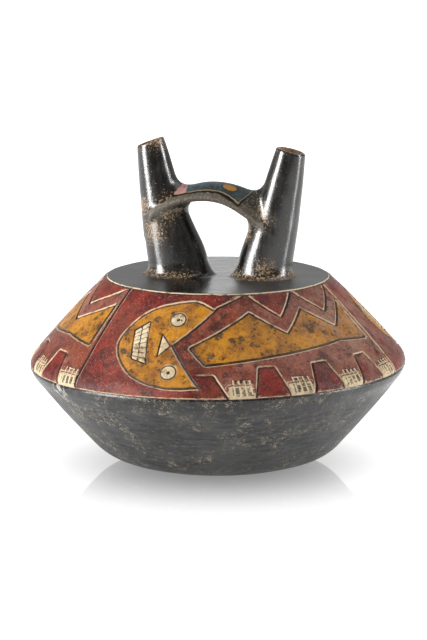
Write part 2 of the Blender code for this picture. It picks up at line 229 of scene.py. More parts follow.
def eye(face, v, radius):
    """A ring on the shoulder, with its radius in millimetres."""
    reach = math.degrees(1 / np.interp(v, WALKED, LINE[:, 0]))
    turns = np.linspace(0, math.tau, 33)[:-1]
    return [(face + radius * reach * math.cos(a), v + radius * math.sin(a)) for a in turns]


STROKES, AREAS = [], []
for beast in BEASTS:
    length = beast["tail"] - beast["nose"]

    def spot(p):
        return beast["nose"] + p[0] * length, RING_V + p[1] * BAND_HEIGHT

    strokes, areas = beast_lines(beast["teeth"])
    STROKES += [([spot(p) for p in line], *rest) for line, *rest in strokes]
    AREAS += [(zone, [spot(p) for p in line]) for zone, line in areas]
    for at in EYES:
        STROKES.append((eye(*spot(at), EYE_RING), True, THIN, 0.4, 0.9))
        STROKES.append((eye(*spot(at), PUPIL), True, THIN, 0.0, 1.0))
        AREAS.append(("cream", eye(*spot(at), EYE_RING)))
ROUND = np.linspace(SEAM_FACE, SEAM_FACE + 360, SECTORS * 2 + 1)
STROKES.append(([(f, RING_V) for f in ROUND], False, WIDE, 1.0, 0.5))
STROKES.append(([(f, KEEL_V) for f in ROUND], False, WIDE, 0.9, 0.3))
print(len(STROKES), "strokes and", len(AREAS), "coloured areas")

# %% [markdown]
# ## From flat strokes to points
# A grid fine enough for the grooves would need millions of faces. Instead every stroke is
# sampled finely, rows of points beside it carry the groove's section, and coarser points
# fill the rest. Points that crowd a neighbour are left out.

# %% Sample the strokes
SAMPLE = 0.2


def flat(face, v):
    """Where a spot of the shoulder lies on the unrolled cone."""
    turn, reach = np.radians(face) * SLANT, APEX + np.asarray(v)
    return np.stack([reach * np.cos(turn), reach * np.sin(turn)], -1)


def unflat(xy):
    """The face angles and the ways down of points on the unrolled cone."""
    reach = np.hypot(xy[:, 0], xy[:, 1])
    turn = np.degrees(np.arctan2(xy[:, 1], xy[:, 0])) / SLANT
    low = SEAM_FACE - 1e-6
    return np.where(turn < low, turn + 360 / SLANT, turn), reach - APEX


samples, tangents, owner = [], [], []
for index, (line, closed, *_) in enumerate(STROKES):
    spots = np.array(line + line[:1] if closed else line, float)
    for start, end in zip(spots, spots[1:]):
        way = flat(*end) - flat(*start)
        reach = float(np.linalg.norm(way))
        t = np.arange(0, 1, SAMPLE / reach)[:, None] if reach > SAMPLE else np.zeros((1, 1))
        samples.append(flat(*(start + (end - start) * t).T))
        tangents.append(np.tile(way / reach, (len(t), 1)))
        owner.append(np.full(len(t), index))
samples, tangents, owner = (np.concatenate(a) for a in (samples, tangents, owner))
tree = kdtree.KDTree(len(samples))
for i, (x, y) in enumerate(samples):
    tree.insert((x, y, 0), i)
tree.balance()
half_width = np.array([stroke[2] for stroke in STROKES])
print(len(samples), "samples")

# %% Place the border's points
SECTION = (0, -0.45, 0.45, -0.9, 0.9, -1.25, 1.25, -1.8, 1.8)
EVERY = {0: 5, 0.45: 5, 0.9: 5, 1.25: 6, 1.8: 8}
CELL = 0.34
taken, points = set(), []


def cell(x, y):
    return int(x // CELL), int(y // CELL)


def put(x, y):
    taken.add(cell(x, y))
    points.append((x, y))


arc = np.linspace(SEAM_FACE, SEAM_FACE + 360, SECTORS + 1)
seam = np.linspace(BAND_START, BAND_STOP, 52)[1:-1]
border = [(f, BAND_START) for f in arc] + [(arc[-1], v) for v in seam]
border += [(f, BAND_STOP) for f in arc[::-1]] + [(arc[0], v) for v in seam[::-1]]
for x, y in flat(*np.array(border).T):
    put(x, y)
print(len(points), "points on the border")

# %% Place the points along the strokes and between them
low, high = math.radians(SEAM_FACE) * SLANT, math.radians(SEAM_FACE + 360) * SLANT
for share in SECTION:
    chosen = np.arange(0, len(samples), EVERY[abs(share)])
    width = half_width[owner[chosen]]
    sides = np.stack([-tangents[chosen, 1], tangents[chosen, 0]], 1)
    for (x, y), w in zip(samples[chosen] + sides * (width * share)[:, None], width):
        turn, reach = math.atan2(y, x), math.hypot(x, y) - APEX
        turn += math.tau if turn < low else 0
        if not (BAND_START + 0.5 < reach < BAND_STOP - 0.5 and low + 0.004 < turn < high - 0.004):
            continue
        near = tree.find((x, y, 0))[2]
        if near >= abs(share) * w * 0.9 and cell(x, y) not in taken:
            put(x, y)
fine = len(points)
GRID, KEEL_GRID, KEEL_CURVE_V = 2.1, 1.5, 64
ROW = GRID * 0.87
for v in np.arange(BAND_START + 1.4, BAND_STOP - 0.6, ROW):
    step = GRID if v < KEEL_CURVE_V else KEEL_GRID
    count = int((high - low) * (APEX + v) / step)
    offset = 0.25 if int(v / ROW) % 2 else 0.75
    for k in range(count):
        turn = low + (high - low) * (k + offset) / count
        x, y = (APEX + v) * math.cos(turn), (APEX + v) * math.sin(turn)
        if tree.find((x, y, 0))[2] > 2.0:
            put(x, y)
print(fine, "points along the strokes,", len(points) - fine, "between them")

# %% Join the points into faces
outer = [list(range(len(border)))]
made = geometry.delaunay_2d_cdt([Vector(p) for p in points], [], outer, 1, 1e-4, False)
xy = np.array([tuple(p) for p in made[0]])
faces = np.array([f for f in made[2] if len(f) == 3])
face_deg, down = unflat(xy)
faces = faces[(down[faces] > BAND_START + 0.01).any(1)]
print(len(xy), "points and", len(faces), "faces in the flat band")

# %% Press the grooves in and roll the band round the body
GROOVE, NAIL_RISE, LIP = 0.75, -0.6, 0.13
near = [tree.find((x, y, 0)) for x, y in xy]
nearest = np.array([n[1] for n in near])
distance = np.array([n[2] for n in near])
stroke = owner[nearest]
across = distance / half_width[stroke]
gap = xy - samples[nearest]
cream = np.array([s[3] for s in STROKES])[stroke]
dark = np.array([s[4] for s in STROKES])[stroke]
side = np.sign(tangents[nearest, 0] * gap[:, 1] - tangents[nearest, 1] * gap[:, 0]) * across
side *= np.where(cream < 0, -1, 1)
cream = np.abs(cream)
depth = np.where(dark < 0, NAIL_RISE, GROOVE) * half_width[stroke]
lift = -depth * np.clip(1 - across, 0, 1) + LIP * np.exp(-(((across - 1.35) / 0.35) ** 2))
lift *= np.clip((down - BAND_START) / 1.5, 0, 1) * np.clip((BAND_STOP - down) / 1.5, 0, 1)
band = on_body(face_deg, down, lift)
print("lift from", round(lift.min(), 2), "to", round(lift.max(), 2), "mm")

# %% Give each face its colour
ZONES = ("black", "ground", "beast", "ochre", "cream", "belly", "panel", "inner", "roll")


def inside(polygon, x, y):
    """Which of the points lie in a polygon."""
    found = np.zeros(len(x), bool)
    px, py = np.array(polygon, float).T
    for ax, ay, bx, by in zip(px, py, np.roll(px, -1), np.roll(py, -1)):
        crosses = (ay > y) != (by > y)
        found ^= crosses & (x < ax + (y - ay) * (bx - ax) / (by - ay if by != ay else 1e-9))
    return found


mid_face, mid_down = face_deg[faces].mean(1), down[faces].mean(1)
zone = np.full(len(faces), ZONES.index("ground"))
zone[mid_down < RING_V] = ZONES.index("black")
zone[mid_down > KEEL_V] = ZONES.index("belly")
for name, polygon in AREAS:
    window = (mid_down > RING_V) & (mid_down < KEEL_V)
    zone[window & inside(polygon, mid_face, mid_down)] = ZONES.index(name)
print({name: int((zone == i).sum()) for i, name in enumerate(ZONES)})

# %% [markdown]
# ## The spouts and the strap
# The potter pressed these on and smoothed the joints with wet fingers. A Boolean would leave
# hard seams there, so each is a formula that is negative inside the clay. A smooth minimum
# joins them to each other and to the disc with a small fillet. A rough mesh is then pulled
# onto that surface.

# %% Formulas
TOP = 111.5
BASE_X, TIP_X, TIP_Z = (-25.0, 27.3), (-40.1, 42.9), (189.6, 185.6)
TILT = (math.tan(math.radians(20)), math.tan(math.radians(-13.5)))
BASE_R, TIP_R, SWELL = 15.6, (7.9, 8.6), 0.9
UNDER_X, UNDER_Z, UNDER_ARCH, LEFT_ARCH, STEEPEST = -6.5, 156.0, 30.0, 44.0, 0.7
CREST_X, CREST_Z, CREST_ARCH = -1.6, 166.5, 44.0
STRAP_HALF, STRAP_THICK, ROLL = 12.4, 4.6, 2.2
STRAP_ENDS, LEFT_SPREAD, CROWN_DROP = (-38.5, 33.5), 1.2, 0.9
FOOT_FLARE, WEBS = 2.4, (5.6, 2.0)
SPOUT_BLEND, HANDLE_BLEND, FRONT_BLEND = 1.0, 2.6, 7.0


def soft_min(a, b, k):
    """The smaller of two values, blended where they come within k of each other."""
    h = np.maximum(k - np.abs(a - b), 0) / k
    return np.minimum(a, b) - h * h * k / 4


def soft_max(a, b, k):
    return -soft_min(-a, -b, k)


def spout_share(p, i):
    """How far up a spout a point is, and where the spout's axis is there."""
    height = TIP_Z[i] - TOP
    share = (p[:, 2] - TOP) / height
    for _ in range(4):
        centre = BASE_X[i] + (TIP_X[i] - BASE_X[i]) * share
        share = (p[:, 2] - TILT[i] * np.clip(share, 0, 1) * (p[:, 0] - centre) - TOP) / height
    return share, centre


def spout_radius(share, i, towards=0):
    """A spout's radius. It flares more at its foot on the side towards the other spout."""
    height = share * (TIP_Z[i] - TOP)
    flare = FOOT_FLARE * np.clip(1 - height / 8, 0, 1.2) ** 2
    web = WEBS[i] * np.exp(-(((height - 8) / 20) ** 2)) * np.clip(towards, 0, 1) ** 2
    return BASE_R + (TIP_R[i] - BASE_R) * share + SWELL * 4 * share * (1 - share) + flare + web


def spout_field(p, i):
    """How far points are outside a spout; below 0 they are in its clay."""
    share, centre = spout_share(p, i)
    away = np.hypot(p[:, 0] - centre, p[:, 1])
    towards = (1, -1)[i] * (p[:, 0] - centre) / np.maximum(away, 1)
    wall = (away - spout_radius(share, i, towards)) * 0.97
    return soft_max(wall, (share - 1) * (TIP_Z[i] - TOP), 1.4)


def strap_heights(x):
    """The strap's underside, its rim and its crest at a place along X, and the rim's steepness."""
    arch = np.where(x < UNDER_X, LEFT_ARCH, UNDER_ARCH)
    run = np.clip((x - UNDER_X) / arch, -1, STEEPEST)
    past = x - UNDER_X - run * arch
    steep = np.sqrt(1 + run**2)
    low = UNDER_Z - run**2 * arch / 2 - run * past
    return low, low + STRAP_THICK * steep, CREST_Z - (x - CREST_X) ** 2 / (2 * CREST_ARCH), steep


def strap_field(p):
    """A crowned strap with a rounded roll along each rim."""
    low, rim, high, steep = strap_heights(p[:, 0])
    side = np.abs(p[:, 1]) - LEFT_SPREAD * np.clip((-14 - p[:, 0]) / 10, 0, 1)
    middle = np.hypot(side - (STRAP_HALF - ROLL), (p[:, 2] - low) / steep - ROLL) - ROLL
    rise = (high - rim + CROWN_DROP) * (1 - (side / (STRAP_HALF - 0.4)) ** 2)
    upper = soft_max(side - STRAP_HALF + 1.6, (p[:, 2] - (rim - CROWN_DROP + rise)) / 1.15, 0.8)
    plate = soft_max(upper, (low - p[:, 2]) / steep, 1.0)
    beyond = np.maximum(STRAP_ENDS[0] - p[:, 0], p[:, 0] - STRAP_ENDS[1])
    return soft_max(soft_min(plate, middle, 0.5), beyond, 1.0)


def clay(p):
    """The spouts, the strap and the disc together, with fillets where they meet."""
    spouts = soft_min(spout_field(p, 0), spout_field(p, 1), SPOUT_BLEND)
    blend = HANDLE_BLEND + FRONT_BLEND * np.clip(1 - (p[:, 1] / 11) ** 2, 0, 1)
    return soft_min(soft_min(spouts, strap_field(p), blend), p[:, 2] - TOP, HANDLE_BLEND)


def onto_clay(p, rounds):
    """Moves points onto the surface, a step at a time along its slope."""
    for _ in range(rounds):
        value = clay(p)
        slope = np.stack([clay(p + d) - clay(p - d) for d in np.eye(3) * 0.05], 1) / 0.1
        step = value / np.maximum((slope**2).sum(1), 0.25)
        p = p - slope * np.clip(step, -0.6, 0.6)[:, None]
    return p


print("strap over the middle, underside to crest", [round(float(v), 1) for v in strap_heights(0.0)[:3]])

# %% A rough mesh of the spouts, the strap and the disc round their feet
SLAB_RADIUS, SLAB_LOW = 54, 107.5


def lathe_rings(bm, rings):
    """A closed shape through rings of points, which have the same number each."""
    made = [[bm.verts.new(tuple(p)) for p in ring] for ring in rings]
    for below, above in zip(made, made[1:]):
        for k in range(len(below)):
            j = (k + 1) % len(below)
            bm.faces.new((below[k], below[j], above[j], above[k]))
    bm.faces.new(made[0][::-1])
    bm.faces.new(made[-1])


bm = bmesh.new()
turns = np.linspace(0, math.tau, 49)[:-1]
for i in (0, 1):
    rings = []
    for share in [-0.04, 0, 0.03, 0.06, 0.1, *np.linspace(0.15, 1, 24)]:
        centre = BASE_X[i] + (TIP_X[i] - BASE_X[i]) * share
        radius = spout_radius(np.array(share), i) - 0.1
        x, y = centre + radius * np.cos(turns), radius * np.sin(turns)
        z = TOP + (TIP_Z[i] - TOP) * share + TILT[i] * max(0, share) * (x - centre)
        rings.append(np.stack([x, y, z], 1))
    lathe_rings(bm, rings)
rings = []
for x in np.linspace(-38, 33.3, 54):
    low, rim, high, _ = strap_heights(x)
    ys = np.linspace(-STRAP_HALF, STRAP_HALF, 17)
    top = [(x, y, rim + (high - rim) * (1 - (y / STRAP_HALF) ** 2)) for y in ys]
    rings.append([(x, y, low) for y in ys[::-1]] + top)
lathe_rings(bm, rings)
slab = SLAB_RADIUS * np.stack([np.cos(turns), np.sin(turns), turns * 0], 1)
lathe_rings(bm, [slab + (0, 0, z) for z in (SLAB_LOW, TOP)])
bmesh.ops.recalc_face_normals(bm, faces=bm.faces[:])


def linked(name, bm):
    """The shape as an object in the scene."""
    mesh = bpy.data.meshes.new(name)
    bm.to_mesh(mesh)
    bm.free()
    made = bpy.data.objects.new(name, mesh)
    bpy.context.scene.collection.objects.link(made)
    return made


print("rough shape", len(bm.faces), "faces")


def evaluated(obj):
    """The object's mesh with its modifiers applied, as a new mesh, and the object is removed."""
    mesh = bpy.data.meshes.new_from_object(obj.evaluated_get(bpy.context.evaluated_depsgraph_get()))
    bpy.data.objects.remove(obj)
    return mesh


# %% Even out the rough mesh
rough = linked("rough_spouts", bm)
remesh = rough.modifiers.new("even faces", "REMESH")
remesh.mode = "VOXEL"
remesh.voxel_size = 1.0
mesh = evaluated(rough)
bm = bmesh.new()
bm.from_mesh(mesh)
print("rough", len(bm.verts), "points")

# %% Pull it onto the smooth surface and trim it
bmesh.ops.delete(bm, geom=[v for v in bm.verts if v.co.z < TOP - 1.2], context="VERTS")
axes = {"use_axis_x": True, "use_axis_y": True, "use_axis_z": True}
for smoothing in (2, 2, 0):
    for _ in range(smoothing):
        bmesh.ops.smooth_vert(bm, verts=bm.verts[:], factor=0.5, **axes)
    p = onto_clay(np.array([v.co for v in bm.verts]), 6)
    for vert, co in zip(bm.verts, p):
        vert.co = co
for vert in bm.verts:
    if abs(vert.co.z - TOP) < 0.3 and vert.normal.z > 0.9:
        vert.co.z = TOP
ROOM = 27.5
feet = [Vector((x, 0)) for x in BASE_X]


def far(vert):
    """Whether a point lies under the disc, or on it and away from the spouts' feet."""
    flat_far = min((vert.co.xy - foot).length for foot in feet) > ROOM and vert.co.z < TOP + 1
    return flat_far or vert.co.z < TOP - 0.2


bmesh.ops.delete(bm, geom=[v for v in bm.verts if far(v)], context="VERTS")
loose = [v for v in bm.verts if len(v.link_faces) == 0]
bmesh.ops.delete(bm, geom=loose, context="VERTS")
rim = [e for e in bm.edges if len(e.link_faces) == 1]
for edge in rim:
    for vert in edge.verts:
        vert.co.z = TOP
print("spouts and strap", len(bm.verts), "points, open edge of", len(rim))

# %% [markdown]
# ## The disc
# On the real vessel the disc is one flat, burnished face. A single face with holes would
# shade badly, so small triangles fill it between the spouts' feet and the ring line.

# %% Fill the disc
DISC_GRID, DISC_ROW = 2.0, 1.74
loop = [rim[0].verts[0]]
edge = rim[0]
border_edges = set(rim)
while edge is not None:
    border_edges.discard(edge)
    loop.append(edge.other_vert(loop[-1]))
    edge = next((e for e in loop[-1].link_edges if e in border_edges), None)
hole = [v.co.xy.copy() for v in loop[:-1]]
print("loop closed:", loop[0] is loop[-1], "edges left:", len(border_edges))
ring = [Vector((p[0], p[1])) for p in on_body(arc[:-1], BAND_START)]
grid = []
for j in range(-32, 33):
    for i in range(-32, 33):
        x, y = (i + 0.5 * (j % 2)) * DISC_GRID, j * DISC_ROW
        if math.hypot(x, y) < DISC_START - 1.2:
            if min(math.hypot(x - foot.x, y) for foot in feet) > ROOM + 0.8:
                grid.append(Vector((x, y)))
cut = [(k, (k + 1) % len(hole)) for k in range(len(hole))]
filled = geometry.delaunay_2d_cdt(hole + ring + grid, cut, [], 0, 1e-4, False)
disc_xy = np.array([tuple(p) for p in filled[0]])
disc_faces = np.array([f for f in filled[2] if len(f) == 3])
middle = disc_xy[disc_faces].mean(1)
disc_faces = disc_faces[~inside(hole, middle[:, 0], middle[:, 1])]
print("disc", len(disc_faces), "faces")

# %% [markdown]
# ## One closed mesh
# The band, the disc, the spouts and the lower body share their border points, so they weld.
# The hollow and the two bores are then cut out.

# %% Spin the lower body
def spun(bm, line, steps):
    """Turns a line of points round the upright axis."""
    verts = [bm.verts.new(tuple(p)) for p in line]
    edges = [bm.edges.new(pair) for pair in zip(verts, verts[1:])]
    around = {"axis": (0, 0, 1), "cent": (0, 0, 0), "angle": math.tau, "steps": steps}
    bmesh.ops.spin(bm, geom=verts + edges, use_merge=True, **around)


lower = bmesh.new()
belly_v = np.concatenate([[BAND_STOP], np.arange(BAND_STOP + 2, WALKED[-1] - 1, 2.4), [WALKED[-1]]])
underside = on_body(SEAM_FACE, WALKED[-1]) * np.array([[0.6], [0.25], [0]])
spun(lower, np.concatenate([on_body(SEAM_FACE, belly_v), underside]), SECTORS)
belly = bpy.data.meshes.new("belly")
lower.to_mesh(belly)
lower.free()
print("belly", len(belly.polygons), "faces")

# %% Put the outside together
side_layer = bm.verts.layers.float.new("line_side")
edge_layer = bm.verts.layers.float.new("line_away")
cream_layer = bm.verts.layers.float.new("line_cream")
dark_layer = bm.verts.layers.float.new("line_dark")
for vert in bm.verts:
    vert[edge_layer] = 9
verts = [bm.verts.new((x, y, TOP)) for x, y in disc_xy]
for vert in verts:
    vert[edge_layer] = 9
for a, b, c in disc_faces:
    bm.faces.new((verts[a], verts[b], verts[c]))
verts = []
for co, s, e, c, d in zip(band, side, across, cream, dark):
    vert = bm.verts.new(tuple(co))
    vert[side_layer], vert[edge_layer] = s, min(e, 9)
    vert[cream_layer], vert[dark_layer] = c, d
    verts.append(vert)
for (a, b, c), z in zip(faces, zone):
    bm.faces.new((verts[a], verts[b], verts[c])).material_index = int(z)
bm.from_mesh(belly)
print("parts together", len(bm.verts), "points")

# %% Weld the outside
BELLY_TOP, LINES_END = 60.3, 57.5
bmesh.ops.remove_doubles(bm, verts=bm.verts[:], dist=0.01)
for face in bm.faces:
    if face.calc_center_median().z < BELLY_TOP and face.material_index == 0:
        face.material_index = ZONES.index("belly")
for vert in bm.verts:
    if vert.co.z < LINES_END:
        vert[edge_layer] = 9
bmesh.ops.recalc_face_normals(bm, faces=bm.faces[:])
open_edges = [e for e in bm.edges if len(e.link_faces) != 2]
print("outside", len(bm.verts), "points,", len(bm.faces), "faces, open edges", len(open_edges))

# %% [markdown]
# ## The hand-made surface
# The real keel isn't level and the clay has soft dents from the potter's hands. Sculpting
# would do, but two sizes of noise along the normals give it evenly and can be set again.

# %% Lean the keel and dent the surface
BROAD, SMALL = (26, 0.5), (9, 0.18)


def keel_share(z):
    """0 at the foot and at the disc, and 1 at the keel."""
    return np.clip(np.where(z > KEEL[1], (TOP - z) / (TOP - KEEL[1]), z / KEEL[1]), 0, 1)


co = np.array([v.co for v in bm.verts])
co[:, 2] += LEAN * co[:, 0] / BODY_RADIUS * keel_share(co[:, 2])
for vert, c in zip(bm.verts, co):
    wave = sum(noise.noise(Vector(c) / size) * height for size, height in (BROAD, SMALL))
    amount = min(1, c[2] / 6) * (0.45 if c[2] < TOP + 0.2 else 0.55)
    vert.co = Vector(c) + vert.normal * (wave - 0.42) * amount
for vert in bm.verts:
    vert.co *= 0.001
vessel = linked("vessel_visual", bm)
print("highest point", round(max(v.co.z for v in vessel.data.vertices) * 1000, 1), "mm")

# %% [markdown]
# ## The inside
# The vessel is a pot with two open spouts, so light has to fall into the mouths. The hollow
# and both bores are made as solid shapes and cut out with Boolean modifiers.

# %% The hollow and the bores
WALL, HOLLOW_TOP_R, HOLLOW_LOW_R = 4.5, 61, 30
SPOUT_WALL, MOUTH_R, LIP_FLARE = 2.4, (5.9, 5.5), 1.9


def hollow():
    bm = bmesh.new()
    kept = (WALKED > 5) & (WALKED < WALKED[-1] - 4)
    shape = (LINE[kept] - NORMALS[kept] * WALL)[4::6]
    above = [(0, TOP - WALL), (HOLLOW_TOP_R, TOP - WALL)]
    shape = np.concatenate([above, shape, [(HOLLOW_LOW_R, WALL), (0, WALL)]])
    spun(bm, [(r * 0.001, 0, z * 0.001) for r, z in shape], 72)
    bmesh.ops.remove_doubles(bm, verts=bm.verts[:], dist=1e-6)
    bmesh.ops.recalc_face_normals(bm, faces=bm.faces[:])
    return linked("hollow", bm)


def bore(i):
    bm = bmesh.new()
    rings = []
    height = TIP_Z[i] - TOP
    for share in [-0.09, 0, 0.1, *np.linspace(0.2, 0.96, 14), 0.972, 0.982, 0.99, 1.0, 1.01, 1.03]:
        centre = BASE_X[i] + (TIP_X[i] - BASE_X[i]) * share
        inside_share = min(1, max(0, share))
        wide = float(spout_radius(np.array(inside_share), i)) - SPOUT_WALL
        radius = wide + (MOUTH_R[i] - wide) * min(1, max(0, (share - 0.55) / 0.35))
        radius += LIP_FLARE * max(0, (share - 0.955) / 0.045) ** 2
        x, y = centre + radius * np.cos(turns), radius * np.sin(turns)
        z = TOP + height * share + TILT[i] * inside_share * (x - centre)
        rings.append(np.stack([x, y, z], 1) * 0.001)
    lathe_rings(bm, rings)
    bmesh.ops.recalc_face_normals(bm, faces=bm.faces[:])
    return linked(f"bore_{i}", bm)


# %% Cut them out
tools = [hollow(), bore(0), bore(1)]
for tool in tools:
    tool.data.polygons.foreach_set("material_index", [ZONES.index("inner")] * len(tool.data.polygons))
    cutter = vessel.modifiers.new(tool.name, "BOOLEAN")
    cutter.operation = "DIFFERENCE"
    cutter.solver = "MANIFOLD"
    cutter.object = tool
mesh = evaluated(vessel)
for tool in tools:
    bpy.data.objects.remove(tool)
print("vessel", len(mesh.polygons), "faces", [a.name for a in mesh.attributes])

# %% Sort the strap's panel from the rest
chosen = np.zeros(len(mesh.polygons), int)
mesh.polygons.foreach_get("material_index", chosen)
middles = np.zeros(len(mesh.polygons) * 3)
mesh.polygons.foreach_get("center", middles)
middles = middles.reshape(-1, 3) * 1000
x, y, z = middles.T
rim_height = strap_heights(x)[1]
nearer = strap_field(middles) < np.minimum(spout_field(middles, 0), spout_field(middles, 1)) + 0.15
on_strap = nearer & (z > 135) & (chosen == 0)
on_top = on_strap & (abs(x) < 28) & (abs(y) < 12.2) & (z > rim_height - 1.6)
chosen[on_strap] = ZONES.index("roll")
chosen[on_top] = ZONES.index("panel")
print("strap faces", int(on_strap.sum()), "with the painted panel on", int(on_top.sum()))

# %% [markdown]
# ## Materials
# The real vessel shows burnished black clay, painted clay with stains, and incised lines.
# Pictures could be wrapped round it, but patterns made from nodes stay sharp at any size.
# A small class writes shader nodes in short calls. What several clays share is made once, as
# a node group with named inputs and outputs.

# %% Shader helper
def srgb(r, g, b):
    """A colour read off with 0 to 255 values, as the linear values that shaders use."""
    shares = [value / 255 for value in (r, g, b)]
    return tuple(c / 12.92 if c < 0.0404 else ((c + 0.055) / 1.055) ** 2.4 for c in shares) + (1,)


class Net:
    """Writes nodes into one tree. Inputs are numbers, colours or the sockets of other nodes."""

    def __init__(self, tree):
        self.tree = tree

    def feed(self, socket, value):
        """Links a socket to another node's output, or gives it a fixed value."""
        if isinstance(value, bpy.types.NodeSocket):
            self.tree.links.new(value, socket)
        else:
            socket.default_value = value

    def node(self, kind, settings=None, out=0, **inputs):
        """A new node's output. An input goes by its name, or by i and its number."""
        made = self.tree.nodes.new(kind)
        for key, value in (settings or {}).items():
            setattr(made, key, value)
        for key, value in inputs.items():
            numbered = key[0] == "i" and key[1:].isdigit()
            self.feed(made.inputs[int(key[1:]) if numbered else key.replace("_", " ")], value)
        return made.outputs[out]

    def math(self, operation, a, b=0.0):
        return self.node("ShaderNodeMath", {"operation": operation}, i0=a, i1=b)

    def times(self, a, b):
        return self.math("MULTIPLY", a, b)

    def plus(self, a, b):
        return self.math("ADD", a, b)

    def minus(self, a, b):
        return self.math("SUBTRACT", a, b)

    def larger(self, a, b):
        return self.math("MAXIMUM", a, b)

    def mix(self, share, a, b):
        return self.node("ShaderNodeMix", {"data_type": "RGBA"}, out=2, i0=share, i6=a, i7=b)

    def between(self, share, a, b):
        return self.node("ShaderNodeMix", {"data_type": "FLOAT"}, i0=share, i2=a, i3=b)

    def step(self, value, start, stop):
        """0 at start and 1 at stop, smooth between; start may be the larger one."""
        made = {"interpolation_type": "SMOOTHSTEP"}
        if start > stop:
            return self.node("ShaderNodeMapRange", made, i0=value, i1=stop, i2=start, i3=1.0, i4=0.0)
        return self.node("ShaderNodeMapRange", made, i0=value, i1=start, i2=stop, i3=0.0, i4=1.0)

    def place(self, scale=(1, 1, 1)):
        """Object coordinates in millimetres, stretched by a scale."""
        where = self.node("ShaderNodeTexCoord", out=3)
        return self.node("ShaderNodeMapping", Vector=where, Scale=tuple(v * 1000 for v in scale))

    def axes(self, place):
        """The x, y and z of a place."""
        return self.node("ShaderNodeSeparateXYZ", Vector=place).node.outputs[:3]

    def noise(self, scale, detail=2.0, rough=0.5, distortion=0.0, place=None):
        """Cloudy noise on the piece, or on another place."""
        where = self.place() if place is None else place
        inputs = {"Vector": where, "Scale": scale, "Detail": detail}
        return self.node("ShaderNodeTexNoise", Roughness=rough, Distortion=distortion, **inputs)

    def cells(self, scale):
        return self.node("ShaderNodeTexVoronoi", Vector=self.place(), Scale=scale)

    def near(self, point, far, close):
        """1 close to a point given in millimetres, and 0 far from it."""
        kind = {"operation": "DISTANCE"}
        gap = self.node("ShaderNodeVectorMath", kind, out=1, i0=self.place(), i1=tuple(point))
        return self.step(gap, far, close)

    def attribute(self, name):
        return self.node("ShaderNodeAttribute", {"attribute_name": name}, out=2)

    def bump(self, height, reach, strength):
        return self.node("ShaderNodeBump", Height=height, Distance=reach * 0.001, Strength=strength)

    def group(self, tree, output, **inputs):
        """One output of a node group, with what its named inputs are fed."""
        return self.node("ShaderNodeGroup", {"node_tree": tree}, out=output, **inputs)


# %% Groups and materials to start from
GREY = (0.5, 0.5, 0.5, 1)


def new_group(name, inputs, outputs):
    """A node group's writer, inputs and outputs. A start value that is a colour makes a colour."""
    tree = bpy.data.node_groups.new(name, "ShaderNodeTree")
    for way, sockets in (("INPUT", inputs), ("OUTPUT", outputs)):
        for title, value in sockets.items():
            kind = "NodeSocketColor" if isinstance(value, tuple) else "NodeSocketFloat"
            tree.interface.new_socket(title, in_out=way, socket_type=kind).default_value = value
    enter, leave = tree.nodes.new("NodeGroupInput"), tree.nodes.new("NodeGroupOutput")
    return Net(tree), enter.outputs, leave.inputs


def material(name):
    made = bpy.data.materials.new(name)
    made.use_nodes = True
    return made, Net(made.node_tree), made.node_tree.nodes["Principled BSDF"]


def wire(net, shader, **inputs):
    for key, value in inputs.items():
        net.feed(shader.inputs[key.replace("_", " ")], value)


# %% [markdown]
# ## Incised lines
# The lines were scratched into leather-hard clay. One lip of each line shows cream, partly bare
# clay where the paint is lost and partly a painted highlight. The floor is dark with soot and
# painted shade, and a painted shadow runs beside each raised nail. The band's points carry how
# far they are from a line and on which side, so the colours follow the grooves exactly,
# whatever the mesh does.

# %% The incised lines
net, enter, leave = new_group("incised_line", {"Color": GREY}, {"Color": GREY, "Cream": 0.0})
incised = net.tree
side, away = net.attribute("line_side"), net.attribute("line_away")
wander = net.times(net.minus(net.noise(0.35, 2.0), 0.5), 0.7)
moved = net.plus(side, wander)
close_by = net.step(away, 2.1, 1.7)
# Bare clay and a painted highlight: one lip of each groove is coloured cream.
bare_and_lit = net.times(net.step(moved, 0.2, 0.5), net.step(moved, 1.55, 1.15))
worn = net.step(net.noise(0.22, 3.0), 0.32, 0.5)
bare_and_lit = net.times(net.times(bare_and_lit, close_by), net.attribute("line_cream"))
bare_and_lit = net.times(bare_and_lit, net.between(worn, 0.25, 0.9))
# Soot and painted shade: the groove's floor is darkened, on the side away from the cream lip.
soot_and_shade = net.times(net.step(away, 1.35, 0.9), net.step(moved, 0.5, 0.2))
patchy = net.step(net.noise(0.13, 2.0), 0.25, 0.5)
soot_and_shade = net.times(net.between(patchy, 0.55, 1.0), soot_and_shade)
strength = net.attribute("line_dark")
soot_and_shade = net.times(soot_and_shade, net.larger(strength, 0.0))
nail = net.step(strength, -0.3, -0.7)
bare_and_lit = net.between(nail, bare_and_lit, net.times(net.step(away, 1.5, 1.0), 0.95))
# Painted shadow: a dark line on each side of the raised nails.
nail_shadow = net.times(net.step(away, 1.2, 1.6), net.step(away, 2.7, 2.0))
nail_shadow = net.times(nail_shadow, net.between(patchy, 0.35, 0.8))
soot_and_shade = net.between(nail, soot_and_shade, nail_shadow)
colour = net.mix(soot_and_shade, enter["Color"], srgb(16, 12, 10))
net.feed(leave["Color"], net.mix(bare_and_lit, colour, srgb(214, 190, 156)))
net.feed(leave["Cream"], bare_and_lit)
print("incised line", len(incised.nodes), "nodes")

# %% [markdown]
# ## Age
# Long years in the ground left a chalky haze, dark stains of many sizes and a fine grain.
# Round cells with ragged edges give the stains, and noise gives the rest.

